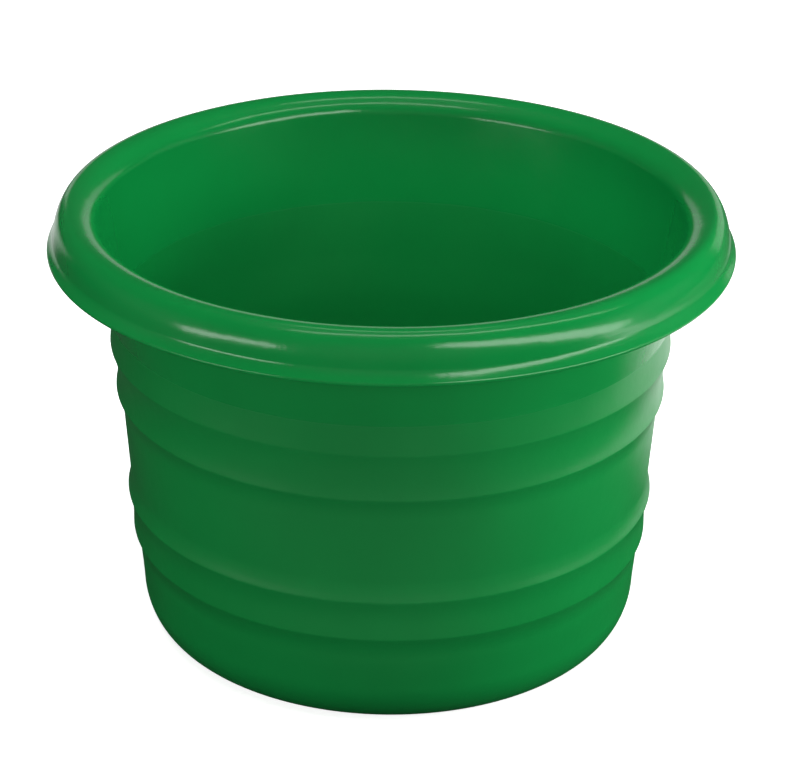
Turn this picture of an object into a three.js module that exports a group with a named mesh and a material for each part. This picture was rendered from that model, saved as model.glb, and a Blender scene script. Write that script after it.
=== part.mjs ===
// Florist bucket: a round, open, one-piece moulded plastic bucket with a turned-over rim.
//
// Millimetres, +Z up. The origin is the centre of the face that the bucket stands on.
// The moulding is modelled as its zones, stacked bottom to top and meeting face to face: foot
// ring, base, heel, corner, lower wall, two hoops, middle wall, two hoops, upper wall, rim, lip.
// Every zone is a body of revolution about Z. Outlines are lists of (radius, height) points.

import * as THREE from 'three';

// ---- Driving dimensions ------------------------------------------------------------------

const HEIGHT = 200;              // floor to the crest of the rim
const LIP_RADIUS = 150;          // widest circle, at the lip under the rim
const WALL = 2.2;                // wall thickness, measured level
const SEGMENTS = 48;             // facets round the axis

// Base.
const STANDING_RADIUS = 98;      // outer edge of the face that rests on the floor
const RECESS_RADIUS = 90;        // inside of the foot ring, which ends in a chamfer
const FOOT_HEIGHT = 1.2;         // the base is raised this much inside the foot ring
const FLOOR_TOP = 4;             // inside floor, where the heel begins

// Rounded bottom corner: a quarter ellipse from the standing circle up to the wall.
const CORNER_RADIUS = 112.2;
const CORNER_HEIGHT = 20.6;
const HEEL_TOP = 9;              // divides the corner's inside bend into two shallow ones

// Hoops, lowest first. Each one swells to a ridge on the outside; the inside stays straight.
// foot and head are the ends of the hoop, where it meets the wall or the next hoop.
const HOOPS = [
  { name: 'hoop_1', foot: [113.4, 34.0], ridge: [116.4, 46.0], head: [116.3, 53.0] },
  { name: 'hoop_2', foot: [116.3, 53.0], ridge: [118.4, 65.0], head: [117.0, 74.0] },
  { name: 'hoop_3', foot: [119.1, 103.5], ridge: [122.2, 115.0], head: [121.3, 123.0] },
  { name: 'hoop_4', foot: [121.3, 123.0], ridge: [124.1, 136.5], head: [123.4, 150.0] },
];

// Rolled rim: two quarter ellipses, a wide inner one and a steeper outer one, the skirt.
const CREST_RADIUS = 139;
const ROLL_WIDTH = 11.3;         // inner quarter, measured on its upper face
const ROLL_HEIGHT = 10;
const ROLL_START = 8;            // angle on the inner quarter where the upper wall runs into it
const SKIRT_WIDTH = 8.4;         // outer quarter, measured on its outer face
const SKIRT_HEIGHT = 17;

// Lip: the skirt's lower end, flared out to a rounded edge.
const LIP_BOTTOM = 179.6;
const LIP_TOP = 186.6;
const LIP_EDGE = 1.3;            // rounding of its outer edge
const LIP_SHOULDER = 30;         // how far up the rounding goes, in degrees
const LIP_CORNER = [147.6, 184.6];   // where the flare's end tangents cross

const GREEN = 0x0b7034;
const ROUGHNESS = 0.22;

// ---- Outline helpers ---------------------------------------------------------------------

const point = (radius, height) => new THREE.Vector2(radius, height);

// Arc of an ellipse, from one angle to another in degrees; 0 points outwards, 90 points up.
function arc(centre, semiRadius, semiHeight, from, to, steps) {
  return Array.from({ length: steps + 1 }, (_, i) => {
    const angle = THREE.MathUtils.degToRad(from + ((to - from) * i) / steps);
    return point(
      centre.x + semiRadius * Math.cos(angle),
      centre.y + semiHeight * Math.sin(angle),
    );
  });
}

// Parabola between two points; corner is where its end tangents cross.
function bend(start, corner, end, steps) {
  return new THREE.QuadraticBezierCurve(start, corner, end).getPoints(steps);
}

const inset = (line, distance) => line.map((p) => point(p.x - distance, p.y));

// Closed outline: along the outside or under face, then back along the inside or upper face.
const closeOutline = (outside, inside) => [...outside, ...inside.slice().reverse()];

const wallOutline = (outside) => closeOutline(outside, inset(outside, WALL));

// ---- Zones -------------------------------------------------------------------------------

// Stretch of the corner's quarter ellipse between two heights, from its lowest level upwards.
// lowest is 0 on the outside and the floor's level on the inside.
function cornerLine(radius, lowest, from, to, steps) {
  const semiHeight = CORNER_HEIGHT - lowest;
  const angle = (height) =>
    -THREE.MathUtils.radToDeg(Math.asin((CORNER_HEIGHT - height) / semiHeight));
  const centre = point(STANDING_RADIUS, CORNER_HEIGHT);
  return arc(centre, radius - STANDING_RADIUS, semiHeight, angle(from), angle(to), steps);
}

function footRing() {
  const outside = cornerLine(CORNER_RADIUS, 0, 0, FOOT_HEIGHT, 2);
  return [point(RECESS_RADIUS, 0), ...outside, point(RECESS_RADIUS - FOOT_HEIGHT, FOOT_HEIGHT)];
}

// Flat floor plate. It is convex, so that the bucket's inside stays clear of it.
function base() {
  const outside = cornerLine(CORNER_RADIUS, 0, FOOT_HEIGHT, FLOOR_TOP, 2);
  return [point(0, FOOT_HEIGHT), ...outside, point(0, FLOOR_TOP)];
}

// Part of the bottom corner, rounded outside and inside.
function cornerPart(from, to) {
  return closeOutline(
    cornerLine(CORNER_RADIUS, 0, from, to, 3),
    cornerLine(CORNER_RADIUS - WALL, FLOOR_TOP, from, to, 3),
  );
}

function lowerWall() {
  return wallOutline([point(CORNER_RADIUS, CORNER_HEIGHT), point(...HOOPS[0].foot)]);
}

// Outside, a hoop curves out from its foot to the ridge, then back in to its head. It is upright
// at both ends and steepest beside the ridge. Inside, it is straight.
function hoop({ foot, ridge, head }) {
  const [footRadius, footHeight] = foot;
  const [, ridgeHeight] = ridge;
  const [headRadius, headHeight] = head;
  const below = point(footRadius, (footHeight + ridgeHeight) / 2);
  const above = point(headRadius, (headHeight + ridgeHeight) / 2);
  const outside = [
    ...bend(point(...foot), below, point(...ridge), 3),
    ...bend(point(...ridge), above, point(...head), 2).slice(1),
  ];
  return closeOutline(outside, inset([point(...foot), point(...head)], WALL));
}

function middleWall() {
  return wallOutline([point(...HOOPS[1].head), point(...HOOPS[2].foot)]);
}

const rollCentre = point(CREST_RADIUS, HEIGHT - ROLL_HEIGHT);
const skirtCentre = point(CREST_RADIUS, HEIGHT - SKIRT_HEIGHT);
const rollFrom = 180 - ROLL_START;

// Upper face of the roll where the upper wall ends.
const [wallTop] = arc(rollCentre, ROLL_WIDTH, ROLL_HEIGHT, rollFrom, rollFrom, 1);

function upperWall() {
  return wallOutline([point(...HOOPS.at(-1).head), point(wallTop.x + WALL, wallTop.y)]);
}

// Angle on an ellipse at a given height above its centre, between 0 and 90 degrees.
const angleAt = (rise, semiHeight) => THREE.MathUtils.radToDeg(Math.asin(rise / semiHeight));

// Inner half of the roll, from the upper wall to the crest.
function rimInner() {
  const underHeight = ROLL_HEIGHT - WALL;
  const underFrom = 180 - angleAt(wallTop.y - rollCentre.y, underHeight);
  const over = arc(rollCentre, ROLL_WIDTH, ROLL_HEIGHT, rollFrom, 90, 5);
  const under = arc(rollCentre, ROLL_WIDTH - WALL, underHeight, underFrom, 90, 4);
  return closeOutline(under, over);
}

// One face of the skirt, from the crest down to the lip; depth is its depth in the plastic.
function skirtLine(depth, steps) {
  const semiHeight = SKIRT_HEIGHT - depth;
  const end = angleAt(LIP_TOP - skirtCentre.y, semiHeight);
  return arc(skirtCentre, SKIRT_WIDTH - depth, semiHeight, 90, end, steps);
}

function rimOuter() {
  return closeOutline(skirtLine(WALL, 5), skirtLine(0, 6));
}

function rimLip() {
  const edgeCentre = point(LIP_RADIUS - LIP_EDGE, LIP_BOTTOM + LIP_EDGE);
  const edge = arc(edgeCentre, LIP_EDGE, LIP_EDGE, -90, LIP_SHOULDER, 3);
  const inside = skirtLine(WALL, 1).at(-1);
  const outside = skirtLine(0, 1).at(-1);
  return [
    point(inside.x, LIP_BOTTOM),
    ...edge,
    ...bend(edge.at(-1), point(...LIP_CORNER), outside, 3).slice(1),
    inside,
  ];
}

// ---- Solids ------------------------------------------------------------------------------

// Turns a closed outline about Z. An outline that touches the axis closes on it.
function revolve(name, outline) {
  const onAxis = outline[0].x === 0;
  const profile = onAxis ? outline : [...outline, outline[0]];
  const geometry = new THREE.LatheGeometry(profile, SEGMENTS);
  geometry.rotateX(Math.PI / 2);
  const material = new THREE.MeshStandardMaterial({
    color: GREEN, roughness: ROUGHNESS, metalness: 0,
  });
  const mesh = new THREE.Mesh(geometry, material);
  mesh.name = name;
  return mesh;
}

const bucket = new THREE.Group();
bucket.add(
  revolve('foot_ring', footRing()),
  revolve('base', base()),
  revolve('heel', cornerPart(FLOOR_TOP, HEEL_TOP)),
  revolve('corner', cornerPart(HEEL_TOP, CORNER_HEIGHT)),
  revolve('lower_wall', lowerWall()),
  ...HOOPS.map((dimensions) => revolve(dimensions.name, hoop(dimensions))),
  revolve('middle_wall', middleWall()),
  revolve('upper_wall', upperWall()),
  revolve('rim_inner', rimInner()),
  revolve('rim_outer', rimOuter()),
  revolve('rim_lip', rimLip()),
);

export default bucket;
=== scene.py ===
"""Florist bucket: its looks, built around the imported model.

Everything is in metres, in the model's own frame: +Z up, origin in the middle of the face
that the bucket stands on. The bucket is one moulding, so its outline is drawn once, all the
way round the wall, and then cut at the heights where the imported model's zones meet.
"""

import math

import bpy
import numpy as np
from mathutils import Matrix, Vector

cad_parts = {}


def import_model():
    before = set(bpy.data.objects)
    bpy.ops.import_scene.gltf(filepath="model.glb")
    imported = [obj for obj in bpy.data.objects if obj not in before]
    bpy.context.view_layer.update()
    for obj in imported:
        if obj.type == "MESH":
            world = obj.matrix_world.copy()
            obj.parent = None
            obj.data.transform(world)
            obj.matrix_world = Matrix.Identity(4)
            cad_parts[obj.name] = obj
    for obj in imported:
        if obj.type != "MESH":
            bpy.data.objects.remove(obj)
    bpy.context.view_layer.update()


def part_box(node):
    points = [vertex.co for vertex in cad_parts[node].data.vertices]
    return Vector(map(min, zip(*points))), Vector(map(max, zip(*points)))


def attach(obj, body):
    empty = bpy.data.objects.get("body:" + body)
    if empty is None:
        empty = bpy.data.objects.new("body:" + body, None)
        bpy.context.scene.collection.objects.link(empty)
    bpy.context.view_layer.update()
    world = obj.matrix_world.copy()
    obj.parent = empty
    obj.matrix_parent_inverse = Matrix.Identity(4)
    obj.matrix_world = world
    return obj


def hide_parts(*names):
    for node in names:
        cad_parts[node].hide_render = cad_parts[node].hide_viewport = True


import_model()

# ---- Shape ----------------------------------------------------------------------------

TURNS = 288                # facets round the axis
WALL = 0.0022              # wall thickness, measured level
STANDING_RADIUS = 0.098    # outer edge of the face that rests on the floor
RECESS_RADIUS = 0.090      # inside of the foot ring
CORNER_RADIUS = 0.1122     # bottom corner: where its quarter ellipse meets the wall
CORNER_HEIGHT = 0.0206
HOOPS = (                  # name, radius at the foot, height of the ridge, radius at the head
    ("hoop_1", 0.1134, 0.0460, 0.1163),
    ("hoop_2", 0.1163, 0.0650, 0.1170),
    ("hoop_3", 0.1191, 0.1150, 0.1213),
    ("hoop_4", 0.1213, 0.1365, 0.1234),
)
WALL_ZONES = (
    "lower_wall", "hoop_1", "hoop_2", "middle_wall", "hoop_3", "hoop_4", "upper_wall",
)
GATE_RADIUS = 0.0034       # stub in the middle of the underside, where the plastic came in
GATE_DEPTH = 0.0005
ROLL_WIDTH = 0.0113        # inner half of the rim, a quarter ellipse
ROLL_HEIGHT = 0.010
ROLL_START = 8             # angle on the inner half where the upper wall runs into it
SKIRT_WIDTH = 0.0084       # outer half of the rim, a steeper quarter ellipse
SKIRT_HEIGHT = 0.017
LIP_EDGE = 0.0013          # rounding of the lip's edge
LIP_SHOULDER = 30          # how far up that rounding goes, in degrees
LIP_CORNER = (0.1476, 0.1846)    # where the end tangents of the lip's flare cross
SOFTENING = 0.00045        # width of the mean along the outline that rounds its corners off

SPACING = 0.00015          # between the outline's points while it is drawn
LONGEST_STEP = 0.0032      # between the points that are kept
SHARPEST_TURN = 5.0        # degrees between one kept leg and the next

OUT_OF_ROUND = 0.00016     # the wall strays inwards in long waves, by up to twice this
RIPPLE = 0.00004           # and in fine ripples, by up to twice this
RIM_DIP = 0.00012          # the rim dips below level by up to twice this
STRAY_START = 0.006        # height where the straying sets in; the base stays true
STRAY_RISE = 0.02          # how much higher it is complete
DIP_START = 0.15           # height where the dip sets in
DIP_RISE = 0.04            # how much higher it is complete


def low_height(node):
    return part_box(node)[0][2]


def high_height(node):
    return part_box(node)[1][2]


def widest(node):
    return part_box(node)[1][0]


def arc(centre, semi_radius, semi_height, start, end, steps=24):
    """Arc of an ellipse; 0 degrees points outwards and 90 up."""
    angle = np.radians(np.linspace(start, end, steps + 1))
    return np.column_stack([
        centre[0] + semi_radius * np.cos(angle),
        centre[1] + semi_height * np.sin(angle),
    ])


def bend(start, corner, end, steps=24):
    """Parabola between two points; corner is where its end tangents cross."""
    t = np.linspace(0, 1, steps + 1)[:, None]
    start, corner, end = (np.array(p) for p in (start, corner, end))
    return (1 - t) ** 2 * start + 2 * t * (1 - t) * corner + t ** 2 * end


def corner_line(radius, lowest, start, end):
    """Stretch of the bottom corner's quarter ellipse between two heights.

    lowest is the ellipse's lowest height: 0 on the outside, the floor's on the inside.
    """
    height = CORNER_HEIGHT - lowest
    angles = [-math.degrees(math.asin((CORNER_HEIGHT - z) / height)) for z in (start, end)]
    return arc((STANDING_RADIUS, CORNER_HEIGHT), radius - STANDING_RADIUS, height, *angles)


def wall_lines():
    """The wall's outer and inner line, bottom to top, both as {zone: points}."""
    outer = {}
    top = (widest("lower_wall"), high_height("lower_wall"))
    outer["lower_wall"] = np.array([(CORNER_RADIUS, CORNER_HEIGHT), top])
    for name, foot_radius, ridge_height, head_radius in HOOPS:
        foot = (foot_radius, low_height(name))
        ridge = (widest(name), ridge_height)
        head = (head_radius, high_height(name))
        below = (foot_radius, (foot[1] + ridge[1]) / 2)
        above = (head_radius, (head[1] + ridge[1]) / 2)
        outer[name] = np.vstack([bend(foot, below, ridge), bend(ridge, above, head)])
    outer["middle_wall"] = np.array([outer["hoop_2"][-1], outer["hoop_3"][0]])
    top = (widest("upper_wall"), high_height("upper_wall"))
    outer["upper_wall"] = np.array([outer["hoop_4"][-1], top])
    inner = {name: line[[0, -1]] - np.array([WALL, 0]) for name, line in outer.items()}
    return outer, inner


def angle_at(rise, semi_height):
    """Angle on an ellipse at a height above its centre, between 0 and 90 degrees."""
    return math.degrees(math.asin(rise / semi_height))


def skirt_line(depth):
    """The rim's outer half from the crest down to the lip, at a depth in the plastic."""
    centre = (widest("rim_inner"), high_height("rim_inner") - SKIRT_HEIGHT)
    semi_height = SKIRT_HEIGHT - depth
    end = angle_at(high_height("rim_lip") - centre[1], semi_height)
    return arc(centre, SKIRT_WIDTH - depth, semi_height, 90, end)


def lip_line():
    """The lip from the top of its inside, under its edge and up to the skirt."""
    bottom = low_height("rim_lip")
    inside = skirt_line(WALL)[-1]
    outside = skirt_line(0)[-1]
    edge_centre = (widest("rim_lip") - LIP_EDGE, bottom + LIP_EDGE)
    edge = arc(edge_centre, LIP_EDGE, LIP_EDGE, -90, LIP_SHOULDER)
    return np.vstack([inside, (inside[0], bottom), edge, bend(edge[-1], LIP_CORNER, outside)])


def bottom_outside():
    """Underside, foot ring and the outside of the bottom corner."""
    foot_top = high_height("foot_ring")
    floor_top = high_height("base")
    heel_top = high_height("heel")
    gate_tip = foot_top - GATE_DEPTH
    recess_edge = (RECESS_RADIUS - foot_top, foot_top)
    underside = [
        (0, gate_tip),
        (GATE_RADIUS, gate_tip),
        (GATE_RADIUS + GATE_DEPTH, foot_top),
        recess_edge,
    ]
    foot = [recess_edge, (RECESS_RADIUS, 0), corner_line(CORNER_RADIUS, 0, 0, foot_top)]
    return [
        ("base_under", underside),
        ("foot_ring", np.vstack(foot)),
        ("base_side", corner_line(CORNER_RADIUS, 0, foot_top, floor_top)),
        ("heel_out", corner_line(CORNER_RADIUS, 0, floor_top, heel_top)),
        ("corner_out", corner_line(CORNER_RADIUS, 0, heel_top, CORNER_HEIGHT)),
    ]


def rim(wall_top):
    """Under the rim, round the lip and over the rim, from wall_top, the upper wall's top height."""
    centre = (widest("rim_inner"), high_height("rim_inner") - ROLL_HEIGHT)
    under_height = ROLL_HEIGHT - WALL
    under_angle = 180 - angle_at(wall_top - centre[1], under_height)
    return [
        ("rim_inner_under", arc(centre, ROLL_WIDTH - WALL, under_height, under_angle, 90)),
        ("rim_outer_under", skirt_line(WALL)),
        ("rim_lip", lip_line()),
        ("rim_outer_over", skirt_line(0)[::-1]),
        ("rim_inner_over", arc(centre, ROLL_WIDTH, ROLL_HEIGHT, 90, 180 - ROLL_START)),
    ]


def bottom_inside():
    """Inside of the bottom corner, and the floor."""
    floor_top = high_height("base")
    heel_top = high_height("heel")
    radius = CORNER_RADIUS - WALL
    return [
        ("corner_in", corner_line(radius, floor_top, CORNER_HEIGHT, heel_top)),
        ("heel_in", corner_line(radius, floor_top, heel_top, floor_top)),
        ("floor", [(STANDING_RADIUS, floor_top), (0, floor_top)]),
    ]


def whole_outline():
    """The outline as (name, points) stretches, each starting where the last one ends.

    It runs from the middle of the underside up the outside, under the rim, round the lip,
    over the rim and down the inside to the middle of the floor.
    """
    outer, inner = wall_lines()
    return [
        *bottom_outside(),
        *((name + "_out", outer[name]) for name in WALL_ZONES),
        *rim(outer["upper_wall"][-1][1]),
        *((name + "_in", inner[name][::-1]) for name in reversed(WALL_ZONES)),
        *bottom_inside(),
    ]


def evenly(line, spacing):
    """The same line with points at most `spacing` apart."""
    line = np.asarray(line, float)
    legs = np.hypot(*np.diff(line, axis=0).T)
    along = np.concatenate([[0], np.cumsum(legs)])
    wanted = np.linspace(0, along[-1], math.ceil(along[-1] / spacing) + 1)
    return np.column_stack([np.interp(wanted, along, line[:, k]) for k in (0, 1)])


def soften(line, sigma):
    """Rounds corners off: each point becomes a weighted mean of those around it."""
    half = math.ceil(3 * sigma)
    weights = np.exp(-0.5 * (np.arange(-half, half + 1) / sigma) ** 2)
    weights /= weights.sum()
    padded = np.pad(line, ((half, half), (0, 0)), mode="reflect", reflect_type="odd")
    return np.column_stack([np.convolve(padded[:, k], weights, "valid") for k in (0, 1)])


def headings(line):
    """Direction of each leg, in radians, without jumps."""
    legs = np.diff(line, axis=0)
    return np.unwrap(np.arctan2(legs[:, 1], legs[:, 0]))


def thinned(line):
    """Indices of the points to keep, so that neighbours are near and point much the same way."""
    cost = np.hypot(*np.diff(line, axis=0).T) / LONGEST_STEP
    cost[1:] += np.abs(np.diff(headings(line))) / math.radians(SHARPEST_TURN)
    total = np.concatenate([[0], np.cumsum(cost)])
    wanted = np.linspace(0, total[-1], max(1, math.ceil(total[-1])) + 1)
    keep = np.unique(np.searchsorted(total, wanted - 1e-9))
    keep[-1] = len(line) - 1
    return keep


def smooth_outline():
    """All outline points, their convexity, and {stretch: (first index, last index)}."""
    points = []
    ends = {}
    for name, line in whole_outline():
        dense = evenly(line, SPACING)
        first = max(len(points) - 1, 0)
        points += list(dense[1:] if points else dense)
        ends[name] = (first, len(points) - 1)
    line = soften(np.array(points), SOFTENING / SPACING)
    line[0, 0] = line[-1, 0] = 0

    heading = headings(line)
    convexity = np.gradient(np.concatenate([heading[:1], heading])) / SPACING

    kept = []
    new_ends = {}
    for name, (first, last) in ends.items():
        index = first + thinned(line[first:last + 1])
        start = max(len(kept) - 1, 0)
        kept += list(index[1:] if kept else index)
        new_ends[name] = (start, len(kept) - 1)
    return line[kept], convexity[kept], new_ends


def waves(count, lobes, rises, seed):
    """Waves round the axis and up the wall, as (lobes, waves per metre, phase, weight)."""
    random = np.random.default_rng(seed)
    return [
        (
            int(random.integers(*lobes)),
            random.uniform(-rises, rises),
            random.uniform(0, 2 * math.pi),
            random.uniform(0.5, 1),
        )
        for _ in range(count)
    ]


def straying(table, angle, height):
    """Sum of the waves, moved below zero: nearly all of it lies between -2 and 0."""
    total = sum(
        weight * np.cos(lobes * angle + 2 * math.pi * rise * height + phase)
        for lobes, rise, phase, weight in table
    )
    return total / math.sqrt(sum(weight ** 2 for *_, weight in table)) / 3 - 1


def ramp(value, start, length):
    """0 up to start, 1 from length further on, and straight in between."""
    return np.clip((value - start) / length, 0, 1)


def surface_normals(grid):
    """Outward unit normals; the first and the last row are points on the axis."""
    along = np.gradient(grid, axis=0)
    around = np.roll(grid, -1, axis=1) - np.roll(grid, 1, axis=1)
    normal = np.cross(around, along)
    length = np.linalg.norm(normal, axis=-1, keepdims=True)
    normal = normal / np.maximum(length, 1e-12)
    normal[0] = (0, 0, -1)
    normal[-1] = (0, 0, 1)
    return normal


def surface():
    """Grid of positions, outline points by turns; the points' convexity; the stretches' ends."""
    line, convexity, ends = smooth_outline()
    angle = np.linspace(0, 2 * math.pi, TURNS, endpoint=False)[None, :]
    radius = line[:, :1]
    height = line[:, 1:]

    out_of_round = straying(waves(5, (2, 5), 2, seed=3), angle, height)
    ripple = straying(waves(26, (12, 62), 45, seed=11), angle, height)
    dip = straying(waves(4, (2, 7), 1, seed=5), angle, height)
    inward = OUT_OF_ROUND * out_of_round + RIPPLE * ripple
    free = ramp(height, STRAY_START, STRAY_RISE)
    near_rim = ramp(height, DIP_START, DIP_RISE)

    radius = np.where(radius > 0, radius + free * inward, 0)
    height = height + near_rim * (RIM_DIP * dip)
    grid = np.stack([
        radius * np.cos(angle), radius * np.sin(angle), np.broadcast_to(height, radius.shape)
    ], axis=-1)
    return grid, convexity, ends


GRID, CONVEXITY, ENDS = surface()
NORMALS = surface_normals(GRID)
AXIS_ROWS = (0, len(GRID) - 1)


def zone_rows(stretches):
    """The surface's rows round a zone, and the places in that list where a cut begins."""
    rows = []
    cuts = set()
    for stretch in stretches:
        first, last = ENDS[stretch]
        if rows and rows[-1] == first:
            first += 1
        elif rows:
            cuts.add(len(rows) - 1)
        rows += range(first, last + 1)
    return rows, cuts


def face_corners(low, high, turn):
    """Corners of a face between two rows, as (row, turn); a triangle beside the axis."""
    after = (turn + 1) % TURNS
    if low in AXIS_ROWS:
        return [(low, turn), (high, after), (high, turn)]
    if high in AXIS_ROWS:
        return [(low, turn), (low, after), (high, turn)]
    return [(low, turn), (low, after), (high, after), (high, turn)]


def plain_normal(corners):
    """Normal of a face that lies across the wall."""
    a, b, c = (Vector(GRID[corner]) for corner in corners[:3])
    return (b - a).cross(c - b).normalized()


def zone_mesh(name, stretches):
    """Closed solid between stretches of the surface, joined by plain faces across the wall."""
    rows, cuts = zone_rows(stretches)
    pairs = list(zip(rows, rows[1:]))
    if not set(rows) & set(AXIS_ROWS):
        cuts.add(len(rows) - 1)
        pairs.append((rows[-1], rows[0]))

    vertices = []
    convexity = []
    index = {}
    for row in rows:
        count = 1 if row in AXIS_ROWS else TURNS
        for turn in range(TURNS):
            index[row, turn] = len(vertices) + turn % count
        vertices += [tuple(p) for p in GRID[row, :count]]
        convexity += [CONVEXITY[row]] * count

    faces = []
    normals = []
    for k, (low, high) in enumerate(pairs):
        for turn in range(TURNS):
            corners = face_corners(low, high, turn)
            faces.append([index[corner] for corner in corners])
            if k in cuts:
                normals += [plain_normal(corners)] * len(corners)
            else:
                normals += [NORMALS[corner] for corner in corners]

    mesh = bpy.data.meshes.new(name)
    mesh.from_pydata(vertices, [], faces)
    mesh.shade_smooth()
    mesh.normals_split_custom_set([tuple(n) for n in normals])
    attribute = mesh.attributes.new("convexity", "FLOAT", "POINT")
    attribute.data.foreach_set("value", convexity)
    return mesh


ZONES = {
    "foot_ring": ["foot_ring"],
    "base": ["base_under", "base_side", "floor"],
    **{name: [name + "_out", name + "_in"] for name in ("heel", "corner", *WALL_ZONES)},
    "rim_inner": ["rim_inner_under", "rim_inner_over"],
    "rim_outer": ["rim_outer_under", "rim_outer_over"],
    "rim_lip": ["rim_lip"],
}

# ---- Material -------------------------------------------------------------------------

GREEN = (0.0030, 0.205, 0.0390, 1)
DEEP_GREEN = (0.0027, 0.188, 0.0355, 1)
WORN_GREEN = (0.012, 0.26, 0.065, 1)
WEAR_COLOUR = 0.15         # how much of WORN_GREEN shows on a worn edge
WEAR_ROUGHNESS = 0.06
WORN_CONVEXITY = (90, 420)     # 1 / radius in metres: edges start to wear, and wear fully
ROUGHNESS = (0.285, 0.33)  # smoothest and roughest patches of the wall
SHINY_ABOVE = 0.150        # the mouth and the rim are shinier, above hoop_4
SHINY_FADE = 0.0005        # above and below that height
SHINE = 0.14               # how much lower their roughness is
PLASTIC_IOR = 1.49


class Nodes:
    """Short ways to add and join shader nodes."""

    def __init__(self, owner):
        owner.use_nodes = True
        self.tree = owner.node_tree
        self.tree.nodes.clear()

    def add(self, kind, **settings):
        node = self.tree.nodes.new("ShaderNode" + kind)
        for name, value in settings.items():
            setattr(node, name, value)
        return node

    def link(self, source, target):
        self.tree.links.new(source, target)

    def place(self):
        """Position in the object's own frame."""
        return self.add("TexCoord").outputs["Object"]

    def parts(self, vector):
        """X, Y and Z of a vector."""
        node = self.add("SeparateXYZ")
        self.link(vector, node.inputs[0])
        return node.outputs

    def noise(self, vector, scale, detail):
        node = self.add("TexNoise")
        node.inputs["Scale"].default_value = scale
        node.inputs["Detail"].default_value = detail
        self.link(vector, node.inputs["Vector"])
        return node.outputs["Fac"]

    def spread(self, value, low, high, to_low=0.0, to_high=1.0):
        """Maps value from low..high to to_low..to_high, and holds it there."""
        node = self.add("MapRange")
        for name, number in (
            ("From Min", low), ("From Max", high), ("To Min", to_low), ("To Max", to_high)
        ):
            node.inputs[name].default_value = number
        self.link(value, node.inputs["Value"])
        return node.outputs["Result"]

    def maths(self, operation, first, second):
        node = self.add("Math", operation=operation)
        for socket, value in zip(node.inputs, (first, second)):
            if isinstance(value, (int, float)):
                socket.default_value = value
            else:
                self.link(value, socket)
        return node.outputs["Value"]

    def blend(self, factor, first, second):
        node = self.add("Mix", data_type="RGBA")
        self.link(factor, node.inputs["Factor"])
        colours = [s for s in node.inputs if s.type == "RGBA"]
        for socket, value in zip(colours, (first, second)):
            if isinstance(value, tuple):
                socket.default_value = value
            else:
                self.link(value, socket)
        return next(s for s in node.outputs if s.type == "RGBA")

    def bump(self, height, strength, distance, normal=None):
        node = self.add("Bump")
        node.inputs["Strength"].default_value = strength
        node.inputs["Distance"].default_value = distance
        self.link(height, node.inputs["Height"])
        if normal:
            self.link(normal, node.inputs["Normal"])
        return node.outputs["Normal"]

    def camera_sees(self, seen, otherwise, output):
        """Shows one shader to the camera and the other to every other ray."""
        mix = self.add("MixShader")
        self.link(self.add("LightPath").outputs["Is Camera Ray"], mix.inputs[0])
        self.link(otherwise.outputs[0], mix.inputs[1])
        self.link(seen.outputs[0], mix.inputs[2])
        self.link(mix.outputs[0], self.add(output).inputs["Surface"])


def edge_wear(make, place):
    """Patches on the outward edges, from 0 to 1."""
    convexity = make.add("Attribute", attribute_name="convexity").outputs["Fac"]
    edges = make.spread(convexity, *WORN_CONVEXITY)
    patches = make.spread(make.noise(place, scale=160, detail=4), 0.5, 0.72)
    return make.maths("MULTIPLY", edges, patches)


def pigment(make, place, worn):
    """A slow drift between two greens, paler where an edge is worn."""
    drift = make.spread(make.noise(place, scale=14, detail=3), 0.35, 0.65)
    colour = make.blend(drift, GREEN, DEEP_GREEN)
    return make.blend(make.maths("MULTIPLY", worn, WEAR_COLOUR), colour, WORN_GREEN)


def roughness(make, place, worn):
    """Uneven satin, duller where an edge is worn and shinier round the mouth."""
    patches = make.spread(make.noise(place, scale=22, detail=4), 0.3, 0.7, *ROUGHNESS)
    duller = make.maths("ADD", patches, make.maths("MULTIPLY", worn, WEAR_ROUGHNESS))
    height = make.parts(place)["Z"]
    low, high = SHINY_ABOVE - SHINY_FADE, SHINY_ABOVE + SHINY_FADE
    return make.maths("ADD", duller, make.spread(height, low, high, 0.0, -SHINE))


def relief(make, place):
    """A slow swell with a fine orange peel on it."""
    slow = make.noise(place, scale=55, detail=2)
    fine = make.noise(place, scale=330, detail=3)
    swell = make.bump(slow, strength=0.30, distance=0.0006)
    return make.bump(fine, strength=0.16, distance=0.0003, normal=swell)


def green_plastic():
    material = bpy.data.materials.new("green_plastic")
    make = Nodes(material)
    place = make.place()
    worn = edge_wear(make, place)
    shader = make.add("BsdfPrincipled")
    shader.inputs["IOR"].default_value = PLASTIC_IOR
    make.link(pigment(make, place, worn), shader.inputs["Base Color"])
    make.link(roughness(make, place, worn), shader.inputs["Roughness"])
    make.link(relief(make, place), shader.inputs["Normal"])
    make.link(shader.outputs["BSDF"], make.add("OutputMaterial").inputs["Surface"])
    return material


def build_bucket():
    material = green_plastic()
    for node, stretches in ZONES.items():
        mesh = zone_mesh(node + "_moulded", stretches)
        mesh.materials.append(material)
        piece = bpy.data.objects.new(node + "_moulded", mesh)
        bpy.context.scene.collection.objects.link(piece)
        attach(piece, "root")
        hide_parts(node)


# ---- Studio ---------------------------------------------------------------------------

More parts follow.
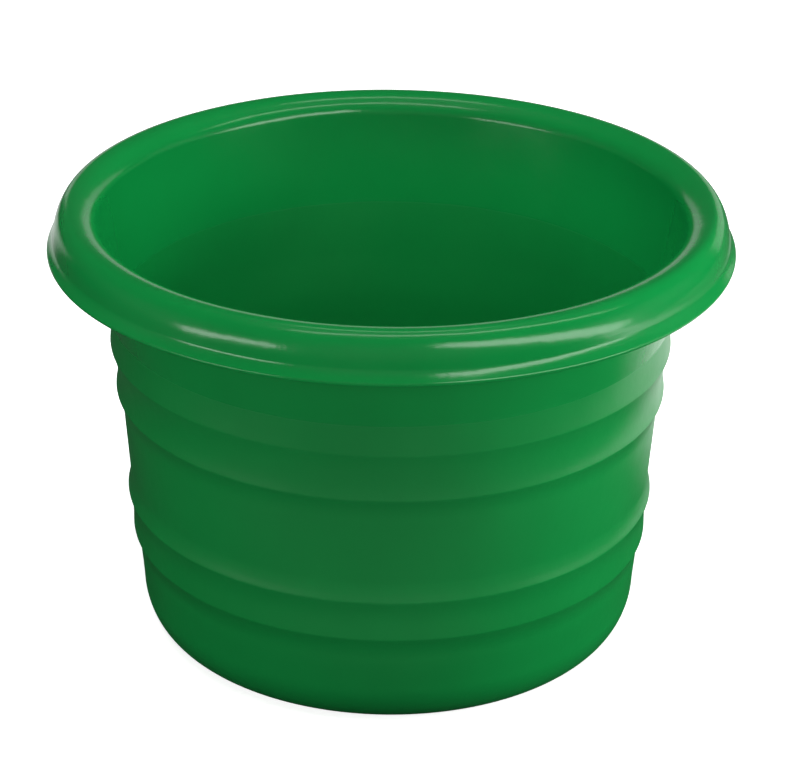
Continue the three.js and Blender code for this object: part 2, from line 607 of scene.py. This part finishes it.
WHITE = (1, 1, 1, 1)
FLOOR_HALF = 6
FLOOR_COLOUR = (0.86, 0.86, 0.86, 1)
FLOOR_ROUGHNESS = 0.9
FLOOR_GLOW = 0.75          # seen by the camera only, so that shadows on the floor stay pale
# The floor as the bucket's gloss sees it: a painted pool of light at the back right, painted shade
# before it and a little painted light left behind it.
BACK_RIGHT = (0.5, 0.87)   # direction in which the floor's mirrored band lies
BAND_START = (0.16, 0.28)  # distances that way over which the band brightens
BAND_END = (0.42, 0.60)    # and over which it darkens again
BAND_DARK = 0.04           # brightness before the band
BAND_PALE = 0.95
BAND_LEFTOVER = 0.08       # share of BAND_PALE that stays behind the band
SKY_SEEN = 1.0             # brightness of the surroundings to the camera
SKY_LIGHT = 0.045          # and to every other ray
AIM = Vector((0, 0, 0.12))     # what the softboxes face
SOFTBOX_DISTANCE = 1.5

CAMERA_PLACE = (0.00440, -1.12776, 0.64760)
CAMERA_PITCH = 25.55       # degrees below level
CAMERA_ROLL = 0.65
CAMERA_LENS = 125.61
CAMERA_SENSOR = 36


def direction(azimuth, elevation):
    """Unit vector; azimuth 0 is +X and 90 is +Y."""
    a, e = math.radians(azimuth), math.radians(elevation)
    return Vector((math.cos(a) * math.cos(e), math.sin(a) * math.cos(e), math.sin(e)))


def light(name, shape, width, height, power, place, rotation, shine):
    """Light that either shines in the gloss or lights the colour."""
    data = bpy.data.lights.new(name, "AREA")
    data.shape = shape
    data.size = width
    data.size_y = height
    data.energy = power
    lamp = bpy.data.objects.new(name, data)
    lamp.location = place
    lamp.rotation_euler = rotation
    bpy.context.scene.collection.objects.link(lamp)
    lamp.visible_camera = False
    lamp.visible_diffuse = not shine
    lamp.visible_glossy = shine


def softbox(name, azimuth, elevation, width, height, power, tilt=0, shine=True):
    """Rectangular light that faces the bucket."""
    outwards = direction(azimuth, elevation)
    facing = outwards.to_track_quat("Z", "Y").to_matrix()
    rotation = (facing @ Matrix.Rotation(math.radians(tilt), 3, "Z")).to_euler()
    place = AIM + SOFTBOX_DISTANCE * outwards
    light(name, "RECTANGLE", width, height, power, place, rotation, shine)


def colour_lights():
    """Lamps that light the plastic's colour and leave no highlights."""
    softbox("key_right", 0, 3, 1.3, 0.9, 46, shine=False)
    softbox("fill_left", -165, 6, 1.2, 0.8, 10.4, shine=False)
    softbox("fill_front", -90, 16, 1.6, 0.8, 8, shine=False)
    in_front = (0, -0.6, 0.004)
    upwards = (math.pi, 0, 0)
    light("bounce", "RECTANGLE", 1.6, 0.9, 2, in_front, upwards, shine=False)
    softbox("overhead", -90, 86, 1.5, 1.5, 24, shine=False)
    mouth = (0, 0, low_height("rim_inner"))
    downwards = (0, 0, 0)
    light("inside", "DISK", 0.2, 0.2, 0.10, mouth, downwards, shine=False)


def gloss_lights():
    """Lamps that make the highlights and don't light the colour."""
    place = (0.75, -0.40, 1.7)
    rotation = (0, 0, math.radians(9))
    light("ceiling", "RECTANGLE", 2.8, 0.14, 6, place, rotation, shine=True)
    softbox("back_ceiling", 90, 74, 0.6, 0.16, 0.8)
    softbox("backdrop", 80, 6, 2.3, 0.6, 2.4)
    softbox("right_strip", -41, 17, 1.9, 0.3, 10, tilt=-30)
    softbox("left_strip", -140, 8, 0.9, 0.16, 2.7, tilt=12)


def floor_material():
    """Pale to the camera. In the gloss it is painted shade but for a painted pool of light at the
    back right.
    """
    material = bpy.data.materials.new("studio_floor")
    make = Nodes(material)
    seen = make.add("BsdfPrincipled")
    seen.inputs["Base Color"].default_value = FLOOR_COLOUR
    seen.inputs["Roughness"].default_value = FLOOR_ROUGHNESS
    seen.inputs["Emission Color"].default_value = WHITE
    seen.inputs["Emission Strength"].default_value = FLOOR_GLOW

    place = make.parts(make.place())
    rightwards = make.maths("MULTIPLY", place["X"], BACK_RIGHT[0])
    backwards = make.maths("MULTIPLY", place["Y"], BACK_RIGHT[1])
    away = make.maths("ADD", rightwards, backwards)
    start = make.spread(away, *BAND_START, BAND_DARK, BAND_PALE)
    end = make.spread(away, *BAND_END, 1.0, BAND_LEFTOVER)
    # painted pool of light on the floor, with painted shade round it, seen only in the bucket's
    # reflections
    painted_light_band = make.add("BsdfDiffuse")
    make.link(make.maths("MULTIPLY", start, end), painted_light_band.inputs["Color"])
    make.camera_sees(seen, painted_light_band, "OutputMaterial")
    return material


def floor():
    mesh = bpy.data.meshes.new("studio_floor")
    half = FLOOR_HALF
    corners = [(-half, -half, 0), (half, -half, 0), (half, half, 0), (-half, half, 0)]
    mesh.from_pydata(corners, [], [(0, 1, 2, 3)])
    mesh.materials.append(floor_material())
    ground = bpy.data.objects.new("studio_floor", mesh)
    bpy.context.scene.collection.objects.link(ground)


def background(make, strength):
    node = make.add("Background")
    node.inputs["Color"].default_value = WHITE
    node.inputs["Strength"].default_value = strength
    return node


def world():
    sky = bpy.data.worlds.new("studio")
    make = Nodes(sky)
    seen = background(make, SKY_SEEN)
    make.camera_sees(seen, background(make, SKY_LIGHT), "OutputWorld")
    bpy.context.scene.world = sky


def camera():
    """Camera at the photograph's viewing angle."""
    pitch = math.radians(CAMERA_PITCH)
    roll = math.radians(CAMERA_ROLL)
    forward = Vector((0, math.cos(pitch), -math.sin(pitch)))
    level = Vector((1, 0, 0))
    upward = Vector((0, math.sin(pitch), math.cos(pitch)))
    right = math.cos(roll) * level + math.sin(roll) * upward
    up = -math.sin(roll) * level + math.cos(roll) * upward
    lens = bpy.data.cameras.new("camera")
    lens.sensor_fit = "HORIZONTAL"
    lens.sensor_width = CAMERA_SENSOR
    lens.lens = CAMERA_LENS
    eye = bpy.data.objects.new("camera", lens)
    turn = Matrix((right, up, -forward)).transposed()
    eye.matrix_world = Matrix.Translation(CAMERA_PLACE) @ turn.to_4x4()
    bpy.context.scene.collection.objects.link(eye)
    bpy.context.scene.camera = eye


build_bucket()
floor()
world()
camera()
colour_lights()
gloss_lights()
bpy.context.scene.view_settings.view_transform = "Standard"
